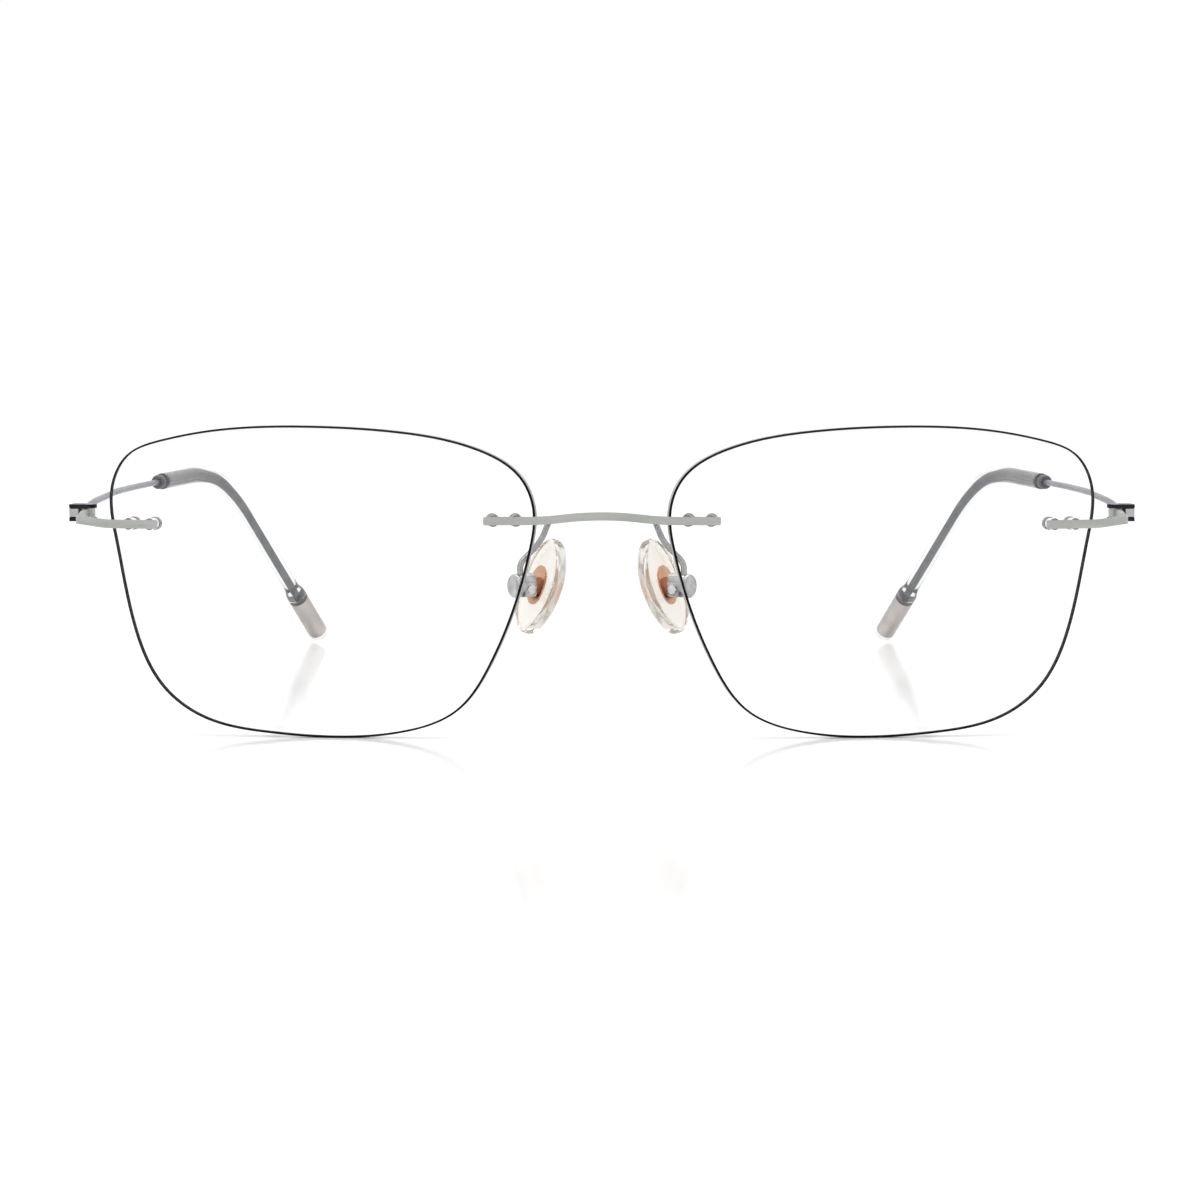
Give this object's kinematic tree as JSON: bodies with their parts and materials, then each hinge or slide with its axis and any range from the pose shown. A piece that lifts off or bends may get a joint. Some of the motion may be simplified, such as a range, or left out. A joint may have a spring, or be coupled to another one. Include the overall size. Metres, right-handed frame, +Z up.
{
  "type": "rimless eyeglasses",
  "caption": "Rimless eyeglasses: clear lenses drilled for a slim arched bridge and bent end pieces, soft nose pads on wire arms, folding wire temples with clear sleeves and capsule tips",
  "frame": {"origin": "middle of the bottom of the bounding box, on the surface that the lens bottoms and temple tips stand on", "axes": "+Z up, the lenses face -Y, temples run back along +Y, the wearer's left is +X"},
  "size_m": [0.1404, 0.135, 0.0398],
  "materials": {
    "lens_clear": "clear optical plastic with a polished edge and a fine anti-reflection coat",
    "bushing_clear": "clear moulded nylon",
    "strip_metal": "satin light grey titanium, bead blasted",
    "hinge_dark": "dark gunmetal plating",
    "screw_steel": "bright turned steel",
    "wire_metal": "drawn titanium wire, grey satin",
    "collar_plastic": "translucent violet grey plastic",
    "sleeve_clear": "clear glossy plastic tube",
    "insert_metal": "satin warm grey metal",
    "arm_metal": "polished titanium wire",
    "cup_metal": "polished and faced metal",
    "plate_copper": "copper coloured satin plate",
    "pad_soft": "clear ivory silicone"
  },
  "bodies": {
    "front": {"bridge": "strip_metal", "left_lens": "lens_clear", "left_bridge_bushing": "bushing_clear", "left_end_bushing": "bushing_clear", "left_end_piece": "strip_metal", "left_pad_arm": "arm_metal", "left_pad_cup": "cup_metal", "left_pad_screw": "screw_steel", "right_lens": "lens_clear", "right_bridge_bushing": "bushing_clear", "right_end_bushing": "bushing_clear", "right_end_piece": "strip_metal", "right_pad_arm": "arm_metal", "right_pad_cup": "cup_metal", "right_pad_screw": "screw_steel"},
    "left_temple": {"left_hinge_fork": "hinge_dark", "left_hinge_screw": "screw_steel", "left_temple_wire": "wire_metal", "left_tip_collar": "collar_plastic", "left_tip_sleeve": "sleeve_clear", "left_tip_insert": "insert_metal"},
    "left_pad": {"left_pad_insert": "plate_copper", "left_nose_pad": "pad_soft"},
    "right_temple": {"right_hinge_fork": "hinge_dark", "right_hinge_screw": "screw_steel", "right_temple_wire": "wire_metal", "right_tip_collar": "collar_plastic", "right_tip_sleeve": "sleeve_clear", "right_tip_insert": "insert_metal"},
    "right_pad": {"right_pad_insert": "plate_copper", "right_nose_pad": "pad_soft"}
  },
  "joints": [
    {"name": "left_temple_fold", "type": "hinge", "parent": "front", "child": "left_temple", "pos_m": [0.06745, -0.05178, 0.02813], "axis": [0, 0, 1], "range_deg": [0, 82]},
    {"name": "left_pad_rock", "type": "hinge", "parent": "front", "child": "left_pad", "pos_m": [0.00996, -0.06063, 0.01875], "axis": [0.5878, 0.809, 0], "range_deg": [-6, 6]},
    {"name": "right_temple_fold", "type": "hinge", "parent": "front", "child": "right_temple", "pos_m": [-0.06745, -0.05178, 0.02813], "axis": [0, 0, -1], "range_deg": [0, 76]},
    {"name": "right_pad_rock", "type": "hinge", "parent": "front", "child": "right_pad", "pos_m": [-0.00996, -0.06063, 0.01875], "axis": [-0.5878, 0.809, 0], "range_deg": [-6, 6]}
  ]
}
